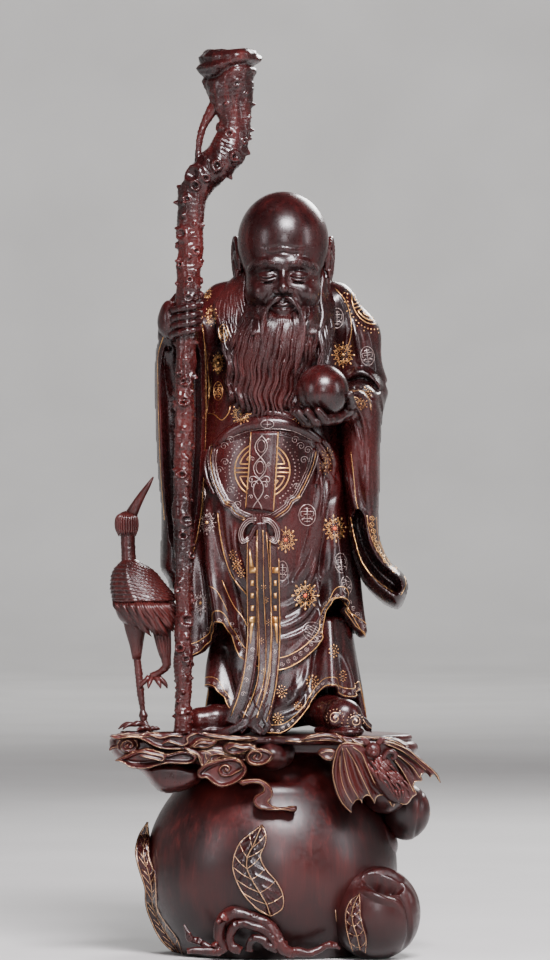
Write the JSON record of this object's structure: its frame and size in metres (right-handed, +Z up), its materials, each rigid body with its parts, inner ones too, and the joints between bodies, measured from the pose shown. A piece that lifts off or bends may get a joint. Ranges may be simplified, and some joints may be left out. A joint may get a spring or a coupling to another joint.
{
  "type": "shou lao figure",
  "caption": "Carved hardwood figure of a bald, long-bearded old man in robes, holding a staff and a peach, on a cloud-topped giant peach with a crane.",
  "frame": {"origin": "on the table under the middle of the bounding box", "axes": "the old man faces -Y, +X is to the right of someone who looks at his face, +Z is up"},
  "size_m": [0.2955, 0.2108, 0.8],
  "materials": {
    "dark_rosewood": "dark red-brown rosewood, waxed and hand polished, fine vertical grain",
    "red_rosewood": "redder rosewood with a soft satin polish, bark-like knots and feathers",
    "gold_inlay": "thin gold and silver wire and dot inlay, soft polished"
  },
  "bodies": {
    "root": {"peach_base": "dark_rosewood", "figure": "dark_rosewood", "staff": "red_rosewood", "crane": "red_rosewood"}
  },
  "joints": []
}
